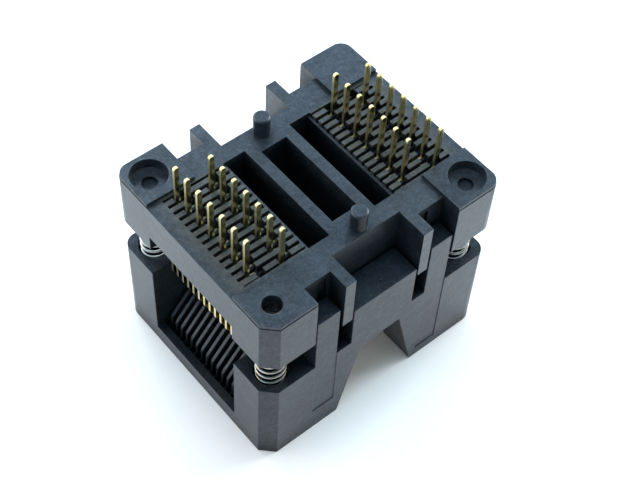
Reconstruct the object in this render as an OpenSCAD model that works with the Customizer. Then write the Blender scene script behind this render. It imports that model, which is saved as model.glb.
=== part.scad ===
// Open-top zero-insertion-force test socket for a 28-lead small-outline package, 0.65 mm pitch.
// Drawn with the solder tails up: the flat face of the push cover is at z = 0, and the face
// that sits on the circuit board is the top of the four corner pads.
// x runs along the body, from one contact field to the other; y runs along the rows of contacts.

/* [Body] */
// Length of the body along x
body_l = 21.2; // [20.8:0.1:22]
// Width of the body along y
body_w = 17.6; // [17.4:0.1:18.4]
// 45 degree chamfer that marks the pin 1 corner
corner_chamfer = 1.0; // [0.6:0.1:1.4]
// Height of the board seating pads above the cover's flat face, cover released
seat_z = 17.1; // [17.1:0.1:17.6]
// Drop from the pads to the deck between them
deck_drop = 0.3; // [0.2:0.05:0.4]

/* [Contacts] */
// Pitch of the contacts along y
pitch = 0.65; // [0.65:0.65:0.65]
// Contacts in one field, an even number
contacts_per_side = 14; // [8:2:14]
// Distance of the outer row of tails from the middle
row_outer = 8.37; // [8.3:0.01:8.4]
// Distance of the inner row of tails from the middle
row_inner = 5.86; // [5.8:0.01:5.9]
// Height of the tail tips above the pads
tail_len = 3.06; // [2.4:0.02:3.4]
// Width of a tail along x
tail_w = 0.42; // [0.3:0.02:0.5]
// Thickness of the contact strip
strip_t = 0.24; // [0.18:0.02:0.26]

/* [Cover] */
// Height of the corner blocks of the cover
cover_h = 8.8; // [8.6:0.1:8.9]
// Travel of the cover toward the base
cover_travel = 2.7; // [2.3:0.1:2.7]
// Height of the bottom rail under each end window
sill_h = 1.6; // [1.3:0.1:1.7]
// Half width of the side cut-out at the flat face
notch_bottom = 3.75; // [3.3:0.05:3.9]
// Half width of the side cut-out at its top
notch_top = 1.85; // [1.5:0.05:2]
// Height of the side cut-out
notch_h = 7.4; // [6.5:0.1:7.5]

/* [Springs] */
// Outer diameter of a coil spring
spring_od = 2.26; // [2:0.02:2.3]
// Diameter of the spring wire
wire_d = 0.22; // [0.2:0.02:0.26]
// Turns in a spring
spring_turns = 12.5; // [8:0.5:13]

/* [Posts] */
// Diameter of the two locating posts
post_d = 1.3; // [1:0.05:1.4]
// Distance between the two locating posts
post_pitch = 10.76; // [10.7:0.02:10.8]
// Height of the locating posts above the pads
post_h = 1.5; // [1:0.1:1.6]

/* [Hidden] */
$fn = 48;
e = 0.02;                         // overlap between unioned bodies
L = body_l / 2;
W = body_w / 2;
deck_z = seat_z - deck_drop;      // top of the deck
blk_z = seat_z - 5.1;             // underside of the base's corners and ribs
end_z = seat_z - 3.65;            // underside of the base's end walls
nest_z = 8.1;                     // face that the device leads rest on
r_big = 1.0;                      // rounding of the corner at -x +y
r_small = 1.0;                    // rounding of the two corners at +x
blk_x = 6.4;                      // inner side of the corner blocks
rib_x0 = 3.07;                    // guide rib, inner side
rib_x1 = 3.97;                    // guide rib, outer side
pock_y = 7.12;                    // floor of the side pockets
mid_y = 6.18;                     // floor of the middle pocket
pad_y = 4.85;                     // inner edge of the pads
win_y = 4.75;                     // half length of the outer windows
field_x0 = 3.95;                  // contact field, inner end
field_x1 = 9.38;                  // contact field, outer end
slit_w = 0.27;
slit_d = 0.7;
slot_w = 0.32;                    // slot that holds a contact plate
slot_top = seat_z - 1.25;
half_n = contacts_per_side / 2;
y_first = (contacts_per_side - 1) * pitch / 2;
cx = 8.85;                        // corner axes, x
cy = 6.95;                        // corner axes, y
pin_x = 9.05;                     // hinge line of the contact arms
pin_z = 13.45;
sp_r = spring_od / 2;
sp_top = seat_z - 2.0;            // spring seat in the base
sp_bot = cover_h - 1.3;           // spring seat in the cover

plastic = [0.20, 0.235, 0.27];
plastic2 = [0.18, 0.215, 0.25];
gold = [0.83, 0.68, 0.30];
steel = [0.78, 0.79, 0.80];

// y position of contact k of a field, k from 0
function con_y(k) = y_first - k * pitch;
// on the left field the even contacts have outer tails, on the right field the odd ones
function is_outer(side, k) = (side < 0) ? (k % 2 == 0) : (k % 2 == 1);
function tail_x(side, k) = side * (is_outer(side, k) ? row_outer : row_inner);

// box given by two corners
module bx(x0, x1, y0, y1, z0, z1) {
    translate([min(x0, x1), min(y0, y1), min(z0, z1)])
        cube([abs(x1 - x0), abs(y1 - y0), abs(z1 - z0)]);
}

// the same box at both ends of x and y
module four(x0, x1, y0, y1, z0, z1) {
    for (sx = [-1, 1], sy = [-1, 1]) bx(sx * x0, sx * x1, sy * y0, sy * y1, z0, z1);
}

// plan outline of the body, o is an inset on all sides
module outline(o = 0) {
    l = L - o;
    w = W - o;
    c = corner_chamfer - 0.59 * o;
    rs = r_small - o;
    rb = r_big - o;
    polygon([[-l + c, -w], [l - rs, -w], [l, -w + rs], [l, w - rs], [l - rs, w],
             [-l + rb, w], [-l, w - rb], [-l, -w + c]]);
    translate([l - rs, -w + rs]) circle(r = rs);
    translate([l - rs, w - rs]) circle(r = rs);
    translate([-l + rb, w - rb]) circle(r = rb);
}

// a profile drawn in (distance from the middle, height), as a plate of thickness t centred on y
module plate(side, y, t, pts) {
    translate([0, y + t / 2, 0]) rotate([90, 0, 0])
        linear_extrude(height = t) polygon([for (p = pts) [side * p[0], p[1]]]);
}

module base_body() {
    // deck plate with side pockets that leave the guide ribs standing
    difference() {
        translate([0, 0, blk_z]) linear_extrude(height = deck_z - blk_z) outline();
        for (s = [-1, 1]) {
            bx(-rib_x0, rib_x0, s * mid_y, s * (W + 1), blk_z - 1, seat_z);
            for (q = [-1, 1])
                bx(q * rib_x1, q * blk_x, s * pock_y, s * (W + 1), blk_z - 1, seat_z);
        }
    }
    // corner pads, the faces that sit on the board
    intersection() {
        translate([0, 0, deck_z - e]) linear_extrude(height = deck_drop + e) outline(0.05);
        four(blk_x, L + 1, pad_y, W + 1, deck_z - e, seat_z + 1);
    }
    // device nest in the middle
    bx(-4.3, 4.3, -5.6, 5.6, nest_z, blk_z + 1);
    // end stops that centre the device in the nest
    for (s = [-1, 1]) bx(-2.2, 2.2, s * 5.2, s * 5.6, nest_z - 1.0, nest_z + e);
    // stops under the deck, that meet the cover when it is fully pressed
    four(4.95, 6.25, 5.15, 6.05, cover_h + cover_travel + 0.02, blk_z + e);
    // locating posts
    for (s = [-1, 1]) translate([0, s * post_pitch / 2, deck_z - e]) {
        cylinder(d = post_d, h = deck_drop + post_h + e - 0.12);
        translate([0, 0, deck_drop + post_h + e - 0.12])
            cylinder(d1 = post_d, d2 = post_d - 0.24, h = 0.12);
    }
}

// everything cut from one contact field; s is -1 for the left field and 1 for the right
module field_cuts(s) {
    // relief under the field, that opens the end wall from below
    bx(s * 4.3, s * (L + 1), -4.8, 4.8, blk_z - 1, end_z);
    // shallow slits between the bars of the deck
    for (j = [1 : contacts_per_side - 1])
        bx(s * field_x0, s * field_x1, con_y(j) + pitch / 2 - slit_w / 2,
           con_y(j) + pitch / 2 + slit_w / 2, deck_z - slit_d, deck_z + 1);
    bx(s * field_x0, s * field_x1, -s * 4.44, -s * 4.66, deck_z - slit_d, deck_z + 1);
    bx(s * field_x0, s * 8.0, s * 4.44, s * 4.62, deck_z - slit_d, deck_z + 1);
    bx(s * 8.0, s * 9.3, s * 4.48, s * 4.57, deck_z - slit_d, deck_z + 1);
    // step down at the window
    bx(s * (field_x0 - 0.3), s * (field_x0 + e), -win_y, win_y, deck_z - 0.3, deck_z + 1);
    for (k = [0 : contacts_per_side - 1]) {
        y = con_y(k);
        // slot for the contact plate, open to the underside
        bx(s * 4.65, s * 9.33, y - slot_w / 2, y + slot_w / 2, blk_z - 1, slot_top);
        // openings in the bar around the tail and above the plate
        if (is_outer(s, k)) {
            bx(s * 7.62, s * 8.64, y - 0.215, y + 0.215, slot_top - e, deck_z + 1);
            bx(s * 4.88, s * 5.5, y - 0.215, y + 0.215, slot_top - e, deck_z + 1);
        } else {
            bx(s * 5.12, s * 6.2, y - 0.215, y + 0.215, slot_top - e, deck_z + 1);
            bx(s * 7.38, s * 8.08, y - 0.215, y + 0.215, slot_top - e, deck_z + 1);
        }
    }
    // core window beside the field
    bx(s * 2.06, s * 3.75, -win_y, win_y, 9.6, deck_z + 1);
}

module base_housing() {
    color(plastic) difference() {
        base_body();
        field_cuts(-1);
        field_cuts(1);
        // middle core window
        bx(-1.15, 1.15, -3.97, 3.97, 9.6, deck_z + 1);
        // relief under the device body
        bx(-2.95, 2.95, -5.2, 5.2, nest_z - 0.01, nest_z + 0.15);
        // corners: spring pocket from below, blind stepped recess in two, small hole through one
        for (sx = [-1, 1], sy = [-1, 1]) translate([sx * cx, sy * cy, 0]) {
            translate([0, 0, blk_z - 1]) cylinder(r = 1.27, h = sp_top - blk_z + 1);
            if (sx * sy < 0) {
                translate([0, 0, seat_z - 0.9]) cylinder(r = 1.42, h = 2);
                translate([0, 0, seat_z - 1.2]) cylinder(r = 0.58, h = 2);
            } else if (sx < 0) cylinder(r = 0.74, h = seat_z + 1);
        }
        // grooves that the cover's snap hooks run in
        four(4.25, 5.05, 6.9, pock_y + e, 12.95, deck_z - 0.45);
    }
}

// one guide wall of the cover with its snap hook, for sy = -1 or 1 and sx = -1 or 1
module guide_wall(sx, sy) {
    bx(sx * 4.23, sx * 6.24, sy * 7.24, sy * (W - 0.06), 1.5, seat_z - 2.9);
    translate([sx * 4.65, 0, 0]) rotate([90, 0, 90]) translate([0, 0, -0.3])
        linear_extrude(height = 0.6) polygon([[sy * 7.3, 13.0], [sy * 6.98, 13.0],
            [sy * 6.98, 13.2], [sy * 7.3, 13.55]]);
}

// comb rib between two contacts
rib_pts = [[4.75, 0], [10.0, 0], [10.0, 1.3], [9.52, 1.3], [9.52, 2.1], [9.47, 2.35], [9.36, 2.55],
    [7.75, 4.45], [7.5, 4.6], [4.75, 4.6]];
// cam that the noses of the contact arms ride on
cam_pts = [[4.75, 0], [4.75, 2.6], [6.1, 2.6], [6.42, 3.7], [6.68, 3.7], [9.3, 0.0]];

module push_cover() {
    color(plastic2) {
        difference() {
            union() {
                translate([0, 0, 0]) linear_extrude(height = cover_h) outline();
                // middle guide walls
                for (s = [-1, 1]) bx(-2.92, 2.92, s * 6.3, s * W, cover_h - 1, seat_z - 4.2);
            }
            // opening over the device nest
            bx(-4.75, 4.75, -5.75, 5.75, -1, cover_h + 1);
            // end windows and the space for the contacts
            for (s = [-1, 1]) {
                bx(s * 4.7, s * (L + 1), -4.9, 4.9, sill_h, cover_h + 1);
                bx(s * 4.7, s * 9.9, -4.9, 4.9, 0.4, sill_h + e);
            }
            // wedge-shaped cut-outs in the long sides, that open the nest for tweezers
            for (s = [-1, 1]) translate([0, s * 7.5, 0]) rotate([90, 0, 0]) translate([0, 0, -2])
                linear_extrude(height = 4) polygon([[-notch_bottom - 0.257, -1], [notch_bottom + 0.257, -1],
                    [notch_top, notch_h], [-notch_top, notch_h]]);
            // spring pockets
            for (sx = [-1, 1], sy = [-1, 1]) translate([sx * cx, sy * cy, sp_bot])
                cylinder(r = 1.27, h = 4);
            // seats of the guide walls, a hair below the faces of the corner blocks
            for (sy = [-1, 1]) {
                bx(-6.24, -4.23, sy * (W - 0.06), sy * (W + 1), 2.4, cover_h + 1);
                bx(4.23, 6.24, sy * (W - 0.06), sy * (W + 1), 1.0, cover_h + 1);
            }
        }
        for (sx = [-1, 1], sy = [-1, 1]) guide_wall(sx, sy);
        // comb and cams
        for (s = [-1, 1]) {
            for (j = [0 : contacts_per_side]) plate(s, y_first + pitch / 2 - j * pitch, 0.26, rib_pts);
            plate(s, 0, 9.82, cam_pts);
        }
    }
}

// fixed part of a contact: plate in the base's slot and solder tail
module contact(side, k) {
    x0 = abs(tail_x(side, k));
    h = tail_w / 2;
    zt = seat_z + tail_len;
    color(gold) {
        plate(side, con_y(k), strip_t, [[4.85, slot_top], [4.85, 14.6], [5.3, 14.1], [8.5, 13.75],
            [9.25, 13.75], [9.25, 15.0], [8.9, slot_top]]);
        plate(side, con_y(k), strip_t, [[x0 - h, slot_top - 0.3], [x0 + h, slot_top - 0.3],
            [x0 + h, zt - 0.2], [x0 + h - 0.035, zt - 0.08], [x0 + h - 0.12, zt],
            [x0 - h + 0.12, zt], [x0 - h + 0.035, zt - 0.08], [x0 - h, zt - 0.2]]);
    }
}

// moving part of a contact: leg, lever nose and contact tip
arm_pts = [[8.85, pin_z], [8.85, 9.0], [8.5, 8.25], [7.3, 7.8], [4.6, 7.75], [4.05, 7.8], [3.82, 7.98],
           [3.72, 8.06], [3.58, 8.06], [3.48, 7.98], [3.48, 7.6], [3.72, 7.4], [4.4, 7.3], [6.75, 7.3],
           [7.12, 7.0], [7.12, 6.1], [6.82, 4.5], [6.82, 3.7], [6.95, 3.56], [7.15, 3.56], [7.3, 3.8],
           [7.55, 4.9], [9.0, 8.35], [9.25, 8.8], [9.25, pin_z]];

module arm(side, k) {
    plate(side, con_y(k), strip_t - 0.02, arm_pts);
    translate([side * pin_x, con_y(k) + (strip_t - 0.02) / 2, pin_z]) rotate([90, 0, 0])
        cylinder(r = 0.2, h = strip_t - 0.02);
}

module contact_arms(side) {
    color(gold) for (k = [0 : contacts_per_side - 1]) arm(side, k);
}

// centre line of a spring: closed turns at both ends and an even pitch between
sp_seg = 14;
sp_len = sp_top - sp_bot - wire_d;
function sp_z(t) = let (a = 1.2, n = spring_turns, p = (sp_len - 2 * a * wire_d * 1.02) / (n - 2 * a))
    t < a ? t * wire_d * 1.02 :
    t > n - a ? sp_len - (n - t) * wire_d * 1.02 :
    a * wire_d * 1.02 + (t - a) * p;
module coil() {
    n = spring_turns * sp_seg;
    m = 6;
    r = sp_r - wire_d / 2;
    pts = [for (i = [0 : n]) let (t = i / sp_seg, a = 360 * t) for (j = [0 : m - 1])
        let (b = 360 * j / m, q = r + wire_d / 2 * cos(b))
        [q * cos(a), q * sin(a), sp_z(t) + wire_d / 2 * sin(b)]];
    faces = concat([[for (j = [0 : m - 1]) j]],
        [for (i = [0 : n - 1], j = [0 : m - 1]) let (a = i * m + j, b = i * m + (j + 1) % m)
            [a, a + m, b + m, b]],
        [[for (j = [m - 1 : -1 : 0]) n * m + j]]);
    polyhedron(points = pts, faces = faces, convexity = 10);
}
module spring(sx, sy) {
    color(steel) translate([sx * cx, sy * cy, sp_bot + wire_d / 2]) coil();
}

base_housing();
push_cover();
contact(-1, 0);  // contact_01
contact(-1, 1);  // contact_02
contact(-1, 2);  // contact_03
contact(-1, 3);  // contact_04
contact(-1, 4);  // contact_05
contact(-1, 5);  // contact_06
contact(-1, 6);  // contact_07
contact(-1, 7);  // contact_08
contact(-1, 8);  // contact_09
contact(-1, 9);  // contact_10
contact(-1, 10);  // contact_11
contact(-1, 11);  // contact_12
contact(-1, 12);  // contact_13
contact(-1, 13);  // contact_14
contact(1, 13);  // contact_15
contact(1, 12);  // contact_16
contact(1, 11);  // contact_17
contact(1, 10);  // contact_18
contact(1, 9);  // contact_19
contact(1, 8);  // contact_20
contact(1, 7);  // contact_21
contact(1, 6);  // contact_22
contact(1, 5);  // contact_23
contact(1, 4);  // contact_24
contact(1, 3);  // contact_25
contact(1, 2);  // contact_26
contact(1, 1);  // contact_27
contact(1, 0);  // contact_28
contact_arms(-1);  // contact_arms_left
contact_arms(1);  // contact_arms_right
spring(-1, -1);  // spring_front
spring(1, -1);  // spring_right
spring(1, 1);  // spring_back
spring(-1, 1);  // spring_left
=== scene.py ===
import bpy
import bmesh
import math
import random
from mathutils import Vector, Matrix, Euler


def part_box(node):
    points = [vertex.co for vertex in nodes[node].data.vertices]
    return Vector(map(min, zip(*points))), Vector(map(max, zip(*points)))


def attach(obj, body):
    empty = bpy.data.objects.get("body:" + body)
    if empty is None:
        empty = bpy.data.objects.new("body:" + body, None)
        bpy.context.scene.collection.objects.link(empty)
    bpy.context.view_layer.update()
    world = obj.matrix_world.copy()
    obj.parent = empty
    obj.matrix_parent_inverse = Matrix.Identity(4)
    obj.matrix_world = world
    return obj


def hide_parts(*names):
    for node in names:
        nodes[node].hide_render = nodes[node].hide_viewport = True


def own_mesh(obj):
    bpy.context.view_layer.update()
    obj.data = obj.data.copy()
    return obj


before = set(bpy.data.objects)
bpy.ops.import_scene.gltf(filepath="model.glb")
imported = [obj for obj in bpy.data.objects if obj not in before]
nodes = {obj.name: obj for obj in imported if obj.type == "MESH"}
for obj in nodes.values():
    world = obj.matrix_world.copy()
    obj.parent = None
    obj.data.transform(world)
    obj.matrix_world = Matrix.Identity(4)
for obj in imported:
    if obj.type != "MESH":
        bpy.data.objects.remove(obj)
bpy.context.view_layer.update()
scene = bpy.context.scene
MM = 0.001

# ---------------------------------------------------------------- node helpers


class Tree:
    """A small wrapper that makes shader nodes and links them."""

    def __init__(self, name):
        self.mat = bpy.data.materials.new(name)
        self.mat.use_nodes = True
        self.nt = self.mat.node_tree
        self.nt.nodes.clear()
        self.out = self.nt.nodes.new("ShaderNodeOutputMaterial")
        self.bsdf = self.nt.nodes.new("ShaderNodeBsdfPrincipled")
        self.link(self.bsdf.outputs[0], self.out.inputs[0])
        tc = self.nt.nodes.new("ShaderNodeTexCoord")
        mp = self.nt.nodes.new("ShaderNodeMapping")
        mp.inputs["Scale"].default_value = (1000, 1000, 1000)
        self.link(tc.outputs["Object"], mp.inputs["Vector"])
        self.mm = mp.outputs[0]  # object coordinates in millimetres
        self.own_normal = tc.outputs["Normal"]

    def link(self, a, b):
        self.nt.links.new(a, b)

    def put(self, socket, v):
        if hasattr(v, "is_output"):
            self.link(v, socket)
        else:
            socket.default_value = v

    def noise(self, scale, detail=3.0, rough=0.5, vec=None, distortion=0.0):
        n = self.nt.nodes.new("ShaderNodeTexNoise")
        n.inputs["Scale"].default_value = scale
        n.inputs["Detail"].default_value = detail
        n.inputs["Roughness"].default_value = rough
        n.inputs["Distortion"].default_value = distortion
        self.link(vec or self.mm, n.inputs["Vector"])
        return n.outputs["Fac"]

    def voronoi(self, scale, feature="F1", vec=None, out="Distance", rnd=1.0):
        n = self.nt.nodes.new("ShaderNodeTexVoronoi")
        n.feature = feature
        n.inputs["Scale"].default_value = scale
        n.inputs["Randomness"].default_value = rnd
        self.link(vec or self.mm, n.inputs["Vector"])
        return n.outputs[out]

    def math(self, op, a, b=0.0, c=0.0, clamp=False):
        n = self.nt.nodes.new("ShaderNodeMath")
        n.operation = op
        n.use_clamp = clamp
        self.put(n.inputs[0], a)
        self.put(n.inputs[1], b)
        self.put(n.inputs[2], c)
        return n.outputs[0]

    def ramp(self, v, lo, hi, a=0.0, b=1.0, smooth=True):
        n = self.nt.nodes.new("ShaderNodeMapRange")
        n.interpolation_type = "SMOOTHSTEP" if smooth else "LINEAR"
        self.put(n.inputs["Value"], v)
        n.inputs["From Min"].default_value = lo
        n.inputs["From Max"].default_value = hi
        n.inputs["To Min"].default_value = a
        n.inputs["To Max"].default_value = b
        return n.outputs[0]

    def mix(self, fac, a, b, mode="MIX"):
        n = self.nt.nodes.new("ShaderNodeMix")
        n.data_type = "RGBA"
        n.blend_type = mode
        n.clamp_factor = True
        self.put(n.inputs["Factor"], fac)
        self.put(n.inputs["A"], a)
        self.put(n.inputs["B"], b)
        return n.outputs["Result"]

    def stretch(self, s, offset=(0, 0, 0), rot=(0, 0, 0)):
        mp = self.nt.nodes.new("ShaderNodeMapping")
        mp.inputs["Scale"].default_value = s
        mp.inputs["Location"].default_value = offset
        mp.inputs["Rotation"].default_value = rot
        self.link(self.mm, mp.inputs["Vector"])
        return mp.outputs[0]

    def xyz(self):
        n = self.nt.nodes.new("ShaderNodeSeparateXYZ")
        self.link(self.mm, n.inputs[0])
        return n.outputs

    def bevel(self, radius_mm, samples=4):
        n = self.nt.nodes.new("ShaderNodeBevel")
        n.samples = samples
        n.inputs["Radius"].default_value = radius_mm * MM
        return n.outputs[0]

    def bump(self, height, strength, dist_mm, normal=None):
        n = self.nt.nodes.new("ShaderNodeBump")
        n.inputs["Strength"].default_value = strength
        n.inputs["Distance"].default_value = dist_mm * MM
        self.link(height, n.inputs["Height"])
        if normal is not None:
            self.link(normal, n.inputs["Normal"])
        return n.outputs[0]

    def open_sky(self, dist_mm, samples=8):
        """1 on open faces, towards 0 deep inside a recess."""
        n = self.nt.nodes.new("ShaderNodeAmbientOcclusion")
        n.samples = samples
        n.inputs["Distance"].default_value = dist_mm * MM
        return n.outputs["AO"]

    def vdot(self, a, b):
        n = self.nt.nodes.new("ShaderNodeVectorMath")
        n.operation = "DOT_PRODUCT"
        self.link(a, n.inputs[0])
        self.link(b, n.inputs[1])
        return n.outputs["Value"]


def srgb(r, g, b):
    def f(v):
        v /= 255.0
        return v / 12.92 if v <= 0.04045 else ((v + 0.055) / 1.055) ** 2.4
    return (f(r), f(g), f(b), 1.0)


def plastic(name, tone, is_base, seed):
    """Fine-textured moulded plastic with soft mottling, flow marks, light edges that are partly wear and partly
    painted highlight, painted shade in the recesses and a little dust.
    """
    t = Tree(name)
    x, y, z = t.xyz()
    off = (seed * 7.3, seed * 3.1, seed * 5.7)
    cloud = t.noise(0.42, 5, 0.6, t.stretch((1, 1, 1), off))
    flow = t.noise(0.9, 3, 0.5, t.stretch((0.35, 1.3, 0.8), off), 0.6)
    blot = t.noise(2.1, 4, 0.62, t.stretch((1, 1, 1), off), 0.3)
    grain = t.noise(7.0, 3, 0.65, t.stretch((1, 1, 1), off))
    fine = t.noise(22.0, 2, 0.6)

    def tint(k, add=0.0):
        return tuple(c * k + add for c in tone[:3]) + (1,)
    col = t.mix(t.ramp(cloud, 0.36, 0.66), tint(0.70), tint(1.30))
    col = t.mix(t.ramp(flow, 0.42, 0.68, 0.0, 0.40), col, tint(1.7))
    col = t.mix(t.ramp(blot, 0.50, 0.70, 0.0, 0.45), col, tint(2.0, 0.002))
    # glass fibre flecks that show as small paler and darker spots
    col = t.mix(t.ramp(grain, 0.54, 0.74, 0.0, 0.60), col, tint(2.9, 0.006))
    col = t.mix(t.ramp(grain, 0.44, 0.26, 0.0, 0.55), col, tint(0.40))
    ax = t.math("ABSOLUTE", x)
    ay = t.math("ABSOLUTE", y)
    if is_base:
        # the bars between the contacts and the strip beside them are paler and warmer
        m = t.math("MULTIPLY", t.ramp(ax, 3.7, 4.1), t.ramp(ay, 4.95, 4.55))
        m = t.math("MULTIPLY", m, t.ramp(ax, 10.55, 9.3))
        m = t.math("MULTIPLY", m, t.ramp(z, 16.0, 16.7))
        m = t.math("MULTIPLY", m, t.ramp(blot, 0.34, 0.62, 0.45, 1.0))
        col = t.mix(m, col, (0.052, 0.046, 0.036, 1))
    else:
        # painted light: the comb ribs are a little paler along their tops, where the light falls on them
        m = t.math("MULTIPLY", t.ramp(ay, 4.9, 4.7), t.ramp(z, 2.25, 2.60))
        m = t.math("MULTIPLY", m, t.ramp(ax, 4.8, 5.0))
        m = t.math("MULTIPLY", m, t.ramp(z, 4.75, 4.65))
        col = t.mix(t.math("MULTIPLY", m, 0.55), col, (0.075, 0.073, 0.085, 1))
        # painted shade: the bottom of the end window gets less gloss below, so it looks darker, as in shade
        low = t.math("MULTIPLY", t.ramp(ax, 9.05, 9.4), t.ramp(ay, 4.92, 4.86))
        low = t.math("MULTIPLY", low, t.math("MULTIPLY", t.ramp(ax, 10.595, 10.56), t.ramp(z, 3.0, 2.8)))
    # edges are rounded and look a little lighter: partly wear, partly a painted highlight where the rounding catches
    # the light
    soft = t.bevel(0.05, 6)
    geo = t.nt.nodes.new("ShaderNodeNewGeometry")
    edge = t.ramp(t.vdot(soft, geo.outputs["Normal"]), 0.985, 0.80)
    wear_and_highlight = t.math("MULTIPLY", edge, t.ramp(t.noise(2.2, 3, 0.6), 0.35, 0.62, 0.15, 0.8))
    col = t.mix(wear_and_highlight, col, tint(2.0, 0.012))
    # dust
    d = t.voronoi(0.85, rnd=1.0)
    dust = t.math("MULTIPLY", t.ramp(d, 0.075, 0.03), t.ramp(t.noise(0.55, 2), 0.5, 0.6))
    col = t.mix(t.math("MULTIPLY", dust, 0.45), col, (0.20, 0.21, 0.21, 1))
    # painted shade: recesses are darkened, set to match how dark they look; recesses
    # are duller: set to match how dark they look, the real cause is not known
    sky = t.open_sky(3.6)
    if is_base:
        # the shallow round recesses in the corner pads are left out of the painted shade of recesses below
        hx = t.math("SUBTRACT", ax, 8.85)
        hy = t.math("SUBTRACT", ay, 6.95)
        hr = t.math("SQRT", t.math("ADD", t.math("MULTIPLY", hx, hx), t.math("MULTIPLY", hy, hy)))
        shallow = t.math("MULTIPLY", t.ramp(hr, 1.50, 1.44), t.ramp(z, 16.0, 16.1))
        shallow = t.math("MULTIPLY", shallow, t.ramp(hr, 0.62, 0.68))
        sky = t.math("MAXIMUM", sky, t.math("MULTIPLY", shallow, 0.86))
    col = t.mix(t.ramp(sky, 0.55, 0.12, 0.0, 0.8), col, tint(0.35))
    t.link(col, t.bsdf.inputs["Base Color"])
    r = t.math("MULTIPLY_ADD", cloud, 0.12, 0.20)
    r = t.math("MULTIPLY_ADD", grain, 0.12, r)
    t.link(t.math("SUBTRACT", r, t.math("MULTIPLY", edge, 0.05)), t.bsdf.inputs["Roughness"])
    t.bsdf.inputs["IOR"].default_value = 1.56
    gl = t.ramp(blot, 0.32, 0.68, 0.42, 0.58, False)
    gl = t.math("MULTIPLY", gl, t.ramp(grain, 0.28, 0.72, 0.78, 1.22, False))
    if is_base:
        # painted highlight: a little more gloss on the ends of the guide ribs, matched to how bright they look
        rib_end_sheen = t.math("MULTIPLY", t.ramp(ay, 8.70, 8.78), t.math("MULTIPLY", t.ramp(ax, 3.0, 3.1), t.ramp(ax, 4.05, 3.95)))
        gl = t.math("MULTIPLY", gl, t.math("MULTIPLY_ADD", rib_end_sheen, 0.10, 1.04))
    else:
        # painted shade: less gloss on the bottom of the end window
        gl = t.math("MULTIPLY", gl, t.math("MULTIPLY_ADD", low, -0.36, 0.74))
    if is_base:
        # painted shade: less gloss on the sides of the locating posts, a look matched to how dark they are, not a
        # known finish
        py = t.math("SUBTRACT", ay, 5.38)
        pr = t.math("SQRT", t.math("ADD", t.math("MULTIPLY", x, x), t.math("MULTIPLY", py, py)))
        nz = t.nt.nodes.new("ShaderNodeSeparateXYZ")
        t.link(t.own_normal, nz.inputs[0])
        side = t.math("MULTIPLY", t.ramp(pr, 0.80, 0.72), t.ramp(t.math("ABSOLUTE", nz.outputs[2]), 0.75, 0.35))
        gl = t.math("MULTIPLY", gl, t.math("MULTIPLY_ADD", t.math("MULTIPLY", side, t.ramp(z, 16.81, 16.9)), -0.62, 1.0))
    if is_base:
        # painted shade: less gloss inside the front pockets, a look matched to how dark they are, not a known finish
        pocket = t.math("MULTIPLY", t.ramp(y, -6.20, -6.30), t.ramp(ax, 6.44, 6.38))
        inner = t.math("MULTIPLY", pocket, t.ramp(nz.outputs[0], -0.7, -0.9))
        back = t.math("MULTIPLY", t.ramp(y, -7.08, -7.11), t.math("MULTIPLY", t.ramp(ax, 6.44, 6.38), t.ramp(ax, 3.9, 4.0)))
        back = t.math("MULTIPLY", back, t.math("MULTIPLY", t.ramp(nz.outputs[1], -0.7, -0.9), t.ramp(y, -7.2, -7.15)))
        gl = t.math("MULTIPLY", gl, t.math("MULTIPLY_ADD", t.math("MAXIMUM", inner, back), -0.60, 1.0))
        # painted highlight: more gloss on the front deck towards the right, a look matched to how bright it is, not a
        # known finish
        deck = t.math("MULTIPLY", t.ramp(nz.outputs[2], 0.7, 0.9), t.math("MULTIPLY", t.ramp(x, 0.6, 2.6), t.ramp(y, -4.85, -5.0)))
        deck = t.math("MULTIPLY", deck, t.math("MULTIPLY", t.ramp(z, 17.0, 16.93), t.ramp(x, 9.6, 8.6)))
        gl = t.math("MULTIPLY", gl, t.math("MULTIPLY_ADD", t.math("MULTIPLY", deck, t.ramp(z, 14.0, 15.0)), 0.32, 1.0))
    # painted shade: less gloss on the pin 1 chamfer, a look matched to how dark it is, not a known finish
    gl = t.math("MULTIPLY", gl, t.ramp(t.math("ADD", x, y), -18.36, -18.30, 0.58, 1.0))
    # painted shade: the recess darkening also lowers the gloss
    t.link(t.math("MULTIPLY", gl, t.ramp(sky, 0.35, 0.92, 0.22, 1.0)), t.bsdf.inputs["Specular IOR Level"])
    n1 = t.bump(fine, 0.25, 0.010, soft)
    n2 = t.bump(grain, 0.40, 0.035, n1)
    n3 = t.bump(blot, 0.35, 0.06, n2)
    n4 = t.bump(cloud, 0.25, 0.12, n3)
    t.link(n4, t.bsdf.inputs["Normal"])
    return t.mat


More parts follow.
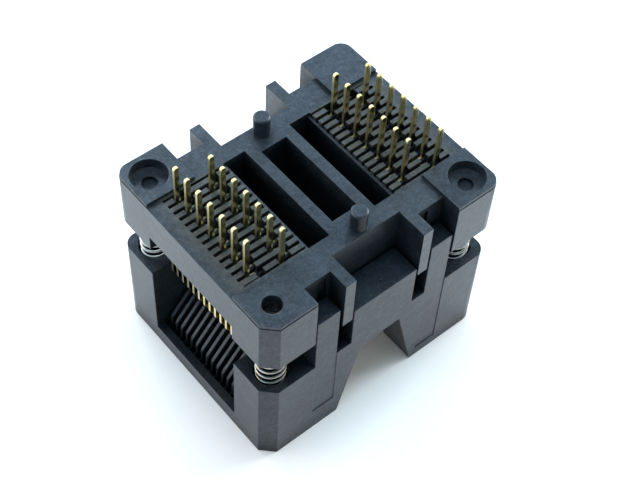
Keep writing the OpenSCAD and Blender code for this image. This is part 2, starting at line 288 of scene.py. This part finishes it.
def gold(name, seed):
    """Bright gold flash over a stamped strip: fine roll marks along z, darker film in places."""
    t = Tree(name)
    off = (seed * 2.3, seed * 1.7, seed * 4.1)
    roll = t.noise(7.0, 3, 0.6, t.stretch((1.0, 1.0, 0.09), off))
    film = t.noise(0.9, 4, 0.6, t.stretch((1, 1, 1), off))
    grain = t.noise(9.0, 3, 0.6, t.stretch((1, 1, 1), off))
    col = t.mix(t.ramp(film, 0.35, 0.68), (0.88, 0.74, 0.36, 1), (0.98, 0.87, 0.48, 1))
    col = t.mix(t.ramp(roll, 0.5, 0.75, 0.0, 0.45), col, (0.70, 0.56, 0.27, 1))
    col = t.mix(t.ramp(grain, 0.58, 0.75, 0.0, 0.35), col, (0.46, 0.37, 0.20, 1))
    # painted shade: darker legs towards the +y end of the left row, where they lie in shade; a look, not a known
    # finish
    x, y, z = t.xyz()
    deep = t.math("MULTIPLY", t.ramp(z, 13.9, 13.2), t.math("MULTIPLY", t.ramp(x, -8.0, -8.4), t.ramp(y, -0.4, 2.6)))
    col = t.mix(t.math("MULTIPLY", deep, 0.88), col, (0.10, 0.085, 0.055, 1))
    face = t.nt.nodes.new("ShaderNodeSeparateXYZ")
    t.link(t.own_normal, face.inputs[0])
    # darker +x edges, so that the strong light from the right does not wash them out: a look, not a known finish
    col = t.mix(t.ramp(face.outputs[0], 0.6, 0.9, 0.0, 0.75), col, (0.34, 0.26, 0.10, 1))
    t.link(col, t.bsdf.inputs["Base Color"])
    t.bsdf.inputs["Metallic"].default_value = 1.0
    # the rolled faces of the strip shine, its sheared edges and tips are satin
    flat = t.ramp(t.math("ABSOLUTE", face.outputs[1]), 0.55, 0.85)
    r = t.math("MULTIPLY_ADD", flat, -0.22, 0.30)
    r = t.math("MULTIPLY_ADD", film, 0.08, r)
    t.link(t.math("MULTIPLY_ADD", roll, 0.06, r), t.bsdf.inputs["Roughness"])
    n1 = t.bump(roll, 0.30, 0.010)
    t.link(t.bump(grain, 0.25, 0.010, n1), t.bsdf.inputs["Normal"])
    return t.mat


def steel(name):
    t = Tree(name)
    draw = t.noise(5.0, 3, 0.6, t.stretch((1, 1, 3.0)))
    spot = t.noise(1.4, 3, 0.5)
    col = t.mix(t.ramp(spot, 0.35, 0.7), (0.40, 0.385, 0.345, 1), (0.56, 0.54, 0.49, 1))
    t.link(col, t.bsdf.inputs["Base Color"])
    t.bsdf.inputs["Metallic"].default_value = 1.0
    t.link(t.math("MULTIPLY_ADD", draw, 0.12, 0.23), t.bsdf.inputs["Roughness"])
    t.link(t.bump(draw, 0.20, 0.004), t.bsdf.inputs["Normal"])
    return t.mat


base_mat = plastic("base_plastic", (0.013, 0.017, 0.021), True, 1.0)
cover_mat = plastic("cover_plastic", (0.012, 0.016, 0.020), False, 2.0)
gold_mats = [gold("contact_gold_%d" % i, 1.0 + i) for i in range(3)]
arm_mat = gold("contact_arm_gold", 6.0)
steel_mat = steel("spring_wire")


def finish_with(o, mat):
    o.data.materials.clear()
    o.data.materials.append(mat)


def soften(o, width_mm, angle=32.0, segments=2, planar=1.0):
    """Small real edge radii on a carried-over part, by modifiers only."""
    w = o.modifiers.new("weld", "WELD")
    w.merge_threshold = 2e-6
    d = o.modifiers.new("planar", "DECIMATE")
    d.decimate_type = "DISSOLVE"
    d.angle_limit = math.radians(planar)
    b = o.modifiers.new("edges", "BEVEL")
    b.width = width_mm * MM
    b.segments = segments
    b.limit_method = "ANGLE"
    b.angle_limit = math.radians(angle)
    b.use_clamp_overlap = True
    b.harden_normals = False


for n, o in nodes.items():
    if n == "base_housing":
        finish_with(o, base_mat)
        soften(o, 0.055)
    elif n == "push_cover":
        finish_with(o, cover_mat)
        soften(o, 0.055)
    elif n.startswith("contact_arms"):
        finish_with(o, arm_mat)
        soften(o, 0.02)
    elif n.startswith("contact_"):
        finish_with(o, gold_mats[int(n[-2:]) % 3])
        soften(o, 0.028)

# ---------------------------------------------------------------- springs


def tube_mesh(name, pts, radius, sides=14):
    """A closed round tube along pts."""
    me = bpy.data.meshes.new(name)
    bm = bmesh.new()
    rings = []
    n = len(pts)
    for i, p in enumerate(pts):
        a = pts[max(i - 1, 0)]
        b = pts[min(i + 1, n - 1)]
        tan = (b - a).normalized()
        side = tan.cross(Vector((0, 0, 1))).normalized()
        up = side.cross(tan).normalized()
        rings.append([bm.verts.new(p + side * (radius * math.cos(2 * math.pi * j / sides))
                                   + up * (radius * math.sin(2 * math.pi * j / sides))) for j in range(sides)])
    for i in range(n - 1):
        for j in range(sides):
            k = (j + 1) % sides
            bm.faces.new((rings[i][j], rings[i][k], rings[i + 1][k], rings[i + 1][j]))
    bm.faces.new(rings[0][::-1])
    bm.faces.new(rings[-1])
    bmesh.ops.recalc_face_normals(bm, faces=bm.faces)
    bm.to_mesh(me)
    bm.free()
    for f in me.polygons:
        f.use_smooth = True
    return me


def make_spring(node, sign_x, sign_y, z_seen):
    lo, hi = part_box(node)
    cx, cy = sign_x * 8.85 * MM, sign_y * 6.95 * MM
    r_out = (hi.y - lo.y) / 2 + 0.055 * MM  # the wire nearly touches its pocket
    wire = 0.21 * MM
    r = r_out - wire / 2
    turns = 12.5
    z0, z1 = lo.z + wire / 2, hi.z - wire / 2
    dead = 1.2
    pd = wire / MM * 1.02 * MM
    p = ((z1 - z0) - 2 * dead * pd) / (turns - 2 * dead)

    def zt(t):
        if t < dead:
            return z0 + t * pd
        if t > turns - dead:
            return z1 - (turns - t) * pd
        return z0 + dead * pd + (t - dead) * p
    # turn the spring so that a coil passes at z_seen on the side at 228 degrees
    t_seen = dead + (z_seen * MM - (z0 + dead * pd)) / p
    phase = math.radians(228.2) - 2 * math.pi * t_seen
    seg = 56
    pts = []
    for i in range(int(turns * seg) + 1):
        t = i / seg
        a = 2 * math.pi * t + phase
        pts.append(Vector((cx + r * math.cos(a), cy + r * math.sin(a), zt(t))))
    o = bpy.data.objects.new(node + "_wire", tube_mesh(node + "_wire", pts, wire / 2))
    scene.collection.objects.link(o)
    o.data.materials.append(steel_mat)
    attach(o, "base")
    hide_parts(node)
    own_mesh(o)
    return o


make_spring("spring_front", -1, -1, 10.10)
make_spring("spring_left", -1, 1, 9.30)
make_spring("spring_right", 1, -1, 9.12)
make_spring("spring_back", 1, 1, 9.50)

# ---------------------------------------------------------------- floor, lights, camera


def make_floor():
    me = bpy.data.meshes.new("floor")
    s = 3.0
    me.from_pydata([(-s, -s, 0), (s, -s, 0), (s, s, 0), (-s, s, 0)], [], [(0, 1, 2, 3)])
    o = bpy.data.objects.new("floor", me)
    o.location = (0, 0, -0.00002)
    scene.collection.objects.link(o)
    t = Tree("floor_white")
    c = t.mix(t.noise(0.02, 2, 0.5), (0.99, 0.93, 0.87, 1), (0.995, 0.94, 0.88, 1))
    t.link(c, t.bsdf.inputs["Base Color"])
    t.bsdf.inputs["Roughness"].default_value = 0.75
    t.bsdf.inputs["Specular IOR Level"].default_value = 0.2
    # far from the object the sweep is lit to plain white, like the wall behind it
    x, y, z = t.xyz()
    far = t.math("SQRT", t.math("ADD", t.math("MULTIPLY", x, x), t.math("MULTIPLY", y, y)))
    # painted light: the floor also glows faintly in a warm colour, less within 9 mm of the object than beyond 14 mm,
    # to lift and warm the shadows around it
    glow = t.ramp(far, 9.0, 14.0, 0.040, 0.115)
    t.link(t.math("ADD", glow, t.ramp(far, 180.0, 520.0, 0.0, 1.5)), t.bsdf.inputs["Emission Strength"])
    warm = t.mix(t.ramp(far, 9.0, 14.0), (1.0, 0.80, 0.60, 1), (1.0, 0.55, 0.27, 1))
    t.link(t.mix(t.ramp(far, 60.0, 200.0), warm, (1, 1, 1, 1)), t.bsdf.inputs["Emission Color"])
    me.materials.append(t.mat)
    return o


make_floor()


def area(name, direction, dist, size_x, size_y, watts, colour=(1, 1, 1), target=(0, 0, 0.010)):
    d = Vector(direction).normalized()
    l = bpy.data.lights.new(name, "AREA")
    l.shape = "RECTANGLE"
    l.size, l.size_y = size_x, size_y
    l.energy = watts
    l.color = colour
    o = bpy.data.objects.new(name, l)
    o.location = Vector(target) + d * dist
    o.rotation_mode = "QUATERNION"
    o.rotation_quaternion = d.to_track_quat("Z", "Y")
    scene.collection.objects.link(o)
    return o


LIGHTS = [
    # name, direction, distance m, width m, height m, (red, green, blue) watts
    ("left", (-1.0, 0.1, 0.35), 0.32, 0.20, 0.16, (0.123, 0.192, 0.273)),
    ("left_back", (-0.75, 0.8, 0.45), 0.32, 0.20, 0.16, (0.370, 0.326, 0.252)),
    ("back", (0.1, 1.0, 0.6), 0.32, 0.20, 0.16, (0.598, 0.778, 0.966)),
    ("right_back", (0.8, 0.7, 0.6), 0.32, 0.20, 0.16, (0.150, 0.211, 0.294)),
    ("right", (1.0, -0.1, 0.45), 0.32, 0.20, 0.16, (0.906, 1.075, 1.134)),
    ("right_front", (0.7, -0.9, 0.4), 0.32, 0.20, 0.16, (0.090, 0.075, 0.068)),
    ("top", (0.0, 0.0, 1.0), 0.32, 0.20, 0.16, (0.299, 0.413, 0.567)),
]
for name, direction, dist, wide, high, rgb in LIGHTS:
    area(name, direction, dist, wide, high, max(rgb), tuple(v / max(rgb) for v in rgb))

world = bpy.data.worlds.new("studio")
scene.world = world
world.use_nodes = True
wn = world.node_tree
wn.nodes.clear()
wo = wn.nodes.new("ShaderNodeOutputWorld")
amb = wn.nodes.new("ShaderNodeBackground")
amb.name = "ambient"
amb.inputs["Color"].default_value = (0.67, 0.89, 1.0, 1)
amb.inputs["Strength"].default_value = 0.37
seen = wn.nodes.new("ShaderNodeBackground")
seen.inputs["Color"].default_value = (1, 1, 1, 1)
seen.inputs["Strength"].default_value = 1.0
lp = wn.nodes.new("ShaderNodeLightPath")
mx = wn.nodes.new("ShaderNodeMixShader")
wn.links.new(lp.outputs["Is Camera Ray"], mx.inputs[0])
wn.links.new(amb.outputs[0], mx.inputs[1])
wn.links.new(seen.outputs[0], mx.inputs[2])
wn.links.new(mx.outputs[0], wo.inputs[0])

cam_data = bpy.data.cameras.new("camera")
cam_data.sensor_width = 36.0
cam_data.lens = 1355.0 / 640 * 36.0
cam_data.clip_start = 0.005
cam_data.clip_end = 20.0
cam = bpy.data.objects.new("camera", cam_data)
cam.location = (-40.33891 * MM, -45.05827 * MM, 91.37268 * MM)
cam.rotation_euler = Euler((math.radians(36.12045), math.radians(-2.34857), math.radians(-39.69108)), "XYZ")
scene.collection.objects.link(cam)
scene.camera = cam
scene.view_settings.view_transform = "Standard"
scene.view_settings.look = "None"
